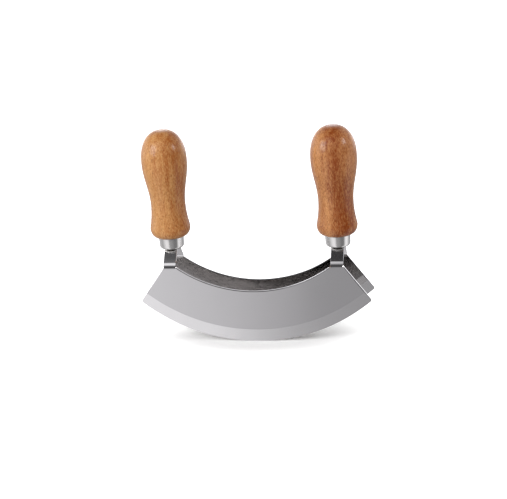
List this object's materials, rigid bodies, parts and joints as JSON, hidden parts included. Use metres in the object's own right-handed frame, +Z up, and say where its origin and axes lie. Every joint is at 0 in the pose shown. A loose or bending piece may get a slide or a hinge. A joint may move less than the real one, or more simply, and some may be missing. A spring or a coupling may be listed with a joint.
{
  "type": "mezzaluna",
  "caption": "Twin-blade rocking chopper with upright turned wooden handles, rocked to and fro to chop herbs and vegetables on a board or in a shallow bowl.",
  "frame": {"origin": "on the surface that it stands on, midway between the two cutting edges at mid length", "axes": "+X along the blades towards the right handle, +Y from the front blade to the rear blade, +Z up along the handles"},
  "size_m": [0.135, 0.0262, 0.125],
  "materials": {
    "blade_steel": "satin to mirror polished stainless sheet with a lighter ground bevel",
    "ferrule_metal": "bright spun cup, finely brushed around",
    "handle_wood": "warm orange-brown hardwood with short dark pores under satin varnish",
    "tang_adhesive": "cured amber adhesive, hidden inside the handle"
  },
  "bodies": {
    "root": {"front_blade": "blade_steel", "rear_blade": "blade_steel", "left_ferrule": "ferrule_metal", "right_ferrule": "ferrule_metal", "left_handle": "handle_wood", "right_handle": "handle_wood", "left_tang_adhesive": "tang_adhesive", "right_tang_adhesive": "tang_adhesive"}
  },
  "joints": []
}
